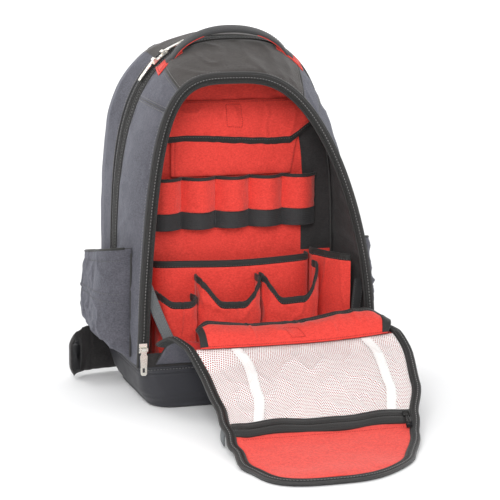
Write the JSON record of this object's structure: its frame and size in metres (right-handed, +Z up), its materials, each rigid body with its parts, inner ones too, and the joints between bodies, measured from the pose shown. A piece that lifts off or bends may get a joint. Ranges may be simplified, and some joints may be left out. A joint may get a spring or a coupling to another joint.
{
  "type": "tool backpack",
  "caption": "Standing jobsite tool backpack on a moulded base, its zipped front open and lying forward, with red tool pockets inside and a net pocket on the flap.",
  "frame": {"origin": "on the floor, at a point under the middle of the moulded base", "axes": "+X to the right as seen from the front, -Y towards the front where the open flap lies, +Z up; Y is the longest extent because of the open flap"},
  "size_m": [0.4146, 0.6524, 0.5136],
  "materials": {
    "black_fabric": "woven, matt",
    "trim_fabric": "tightly woven tape",
    "red_fabric": "woven, matt",
    "net_fabric": "open net",
    "white_tape": "flat tape",
    "grey_webbing": "ribbed webbing",
    "boot_plastic": "fine grain",
    "pull_metal": "worn satin"
  },
  "bodies": {
    "bag": {"base_boot": "boot_plastic", "front_gusset": "black_fabric", "rear_zip_band": "trim_fabric", "rear_gusset": "black_fabric", "rim_track": "trim_fabric", "front_lip": "black_fabric", "back_panel": "black_fabric", "back_pad": "black_fabric", "lumbar_pad": "black_fabric", "divider_panel": "red_fabric", "upper_cover": "red_fabric", "upper_cover_binding": "trim_fabric", "document_pocket": "red_fabric", "driver_row": "red_fabric", "driver_row_binding": "trim_fabric", "driver_band": "trim_fabric", "mid_row": "red_fabric", "mid_row_binding": "trim_fabric", "tool_pocket_left": "red_fabric", "tool_pocket_left_binding": "trim_fabric", "tool_pocket_middle": "red_fabric", "tool_pocket_middle_binding": "trim_fabric", "tool_pocket_right": "red_fabric", "tool_pocket_right_binding": "trim_fabric", "wall_pocket_left": "red_fabric", "wall_pocket_left_binding": "trim_fabric", "wall_pocket_right": "red_fabric", "wall_pocket_right_binding": "trim_fabric", "flap_panel": "black_fabric", "flap_rim": "trim_fabric", "mesh_pocket": "net_fabric", "mesh_strap_left": "white_tape", "mesh_strap_right": "white_tape", "zip_pocket_band": "trim_fabric", "zip_pocket": "red_fabric", "mesh_cover": "red_fabric", "mesh_cover_binding": "trim_fabric", "zip_pocket_pull": "trim_fabric", "hang_tab": "grey_webbing", "stay_strap_left": "grey_webbing", "stay_strap_right": "trim_fabric", "handle_anchor_left": "red_fabric", "handle_anchor_right": "red_fabric", "top_handle": "trim_fabric", "side_pocket_left": "black_fabric", "side_pocket_right": "black_fabric", "shoulder_strap_left": "black_fabric", "strap_web_left": "trim_fabric", "shoulder_strap_right": "black_fabric", "strap_web_right": "trim_fabric", "hip_wing_left": "black_fabric", "hip_wing_right": "black_fabric", "rear_slider_low": "pull_metal", "rear_slider_high": "pull_metal", "front_slider_left": "pull_metal", "front_slider_right": "pull_metal"},
    "rear_pull_low_body": {"rear_pull_low": "pull_metal"},
    "rear_pull_high_body": {"rear_pull_high": "pull_metal"},
    "front_pull_left_body": {"front_pull_left": "pull_metal"},
    "front_pull_right_body": {"front_pull_right": "pull_metal"}
  },
  "joints": [
    {"name": "rear_pull_low_swing", "type": "hinge", "parent": "bag", "child": "rear_pull_low_body", "pos_m": [-0.10122, 0.011, 0.46457], "axis": [0, 1, 0], "range_deg": [0, 95]},
    {"name": "rear_pull_high_swing", "type": "hinge", "parent": "bag", "child": "rear_pull_high_body", "pos_m": [-0.08888, 0.011, 0.47494], "axis": [0, -1, 0], "range_deg": [0, 95]},
    {"name": "front_pull_left_swing", "type": "hinge", "parent": "bag", "child": "front_pull_left_body", "pos_m": [-0.15174, -0.12647, 0.0893], "axis": [-1, 0, 0], "range_deg": [0, 140]},
    {"name": "front_pull_right_swing", "type": "hinge", "parent": "bag", "child": "front_pull_right_body", "pos_m": [0.16477, -0.12647, 0.0893], "axis": [-1, 0, 0], "range_deg": [0, 85]}
  ]
}
